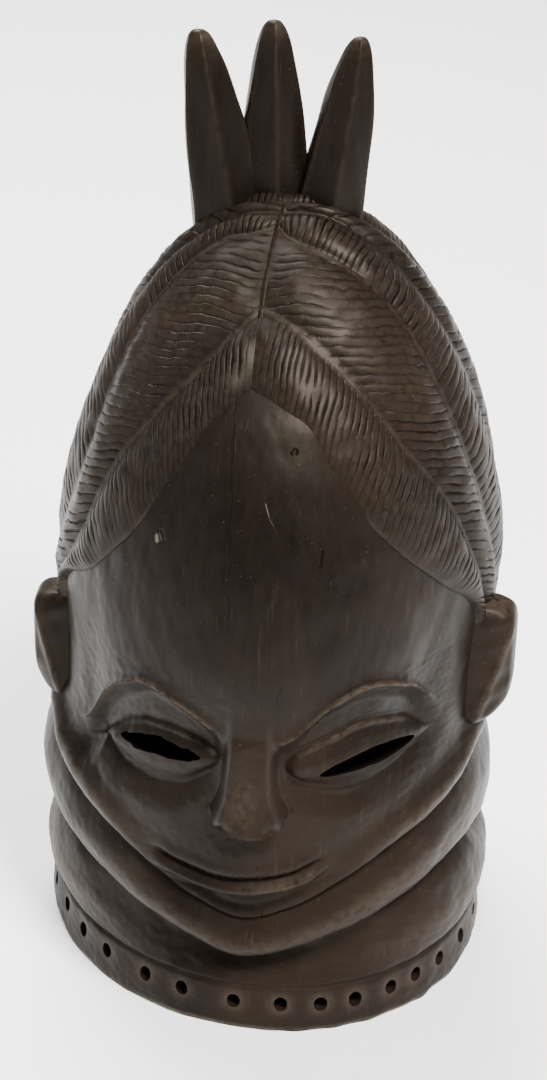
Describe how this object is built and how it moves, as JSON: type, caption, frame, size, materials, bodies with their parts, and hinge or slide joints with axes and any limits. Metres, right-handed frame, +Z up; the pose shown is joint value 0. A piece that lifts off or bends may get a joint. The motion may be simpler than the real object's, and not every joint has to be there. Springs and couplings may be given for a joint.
{
  "type": "helmet mask",
  "caption": "Carved wooden helmet mask with a small calm face, ringed neck, lobed and grooved hair and upright prongs on the crown, hollow below with a pierced rim.",
  "frame": {"origin": "under the middle of the mask's bounds, on the plane that the rim's underside rests on", "axes": "+Z up from the rim to the prongs, -Y out of the face, +X to the left of the face that is worn, which is the right of someone who looks at it"},
  "size_m": [0.218, 0.241, 0.4282],
  "materials": {
    "dark_wood": "dark stained and oiled hardwood, worn to a half gloss"
  },
  "bodies": {
    "root": {"helmet_mask": "dark_wood"}
  },
  "joints": []
}
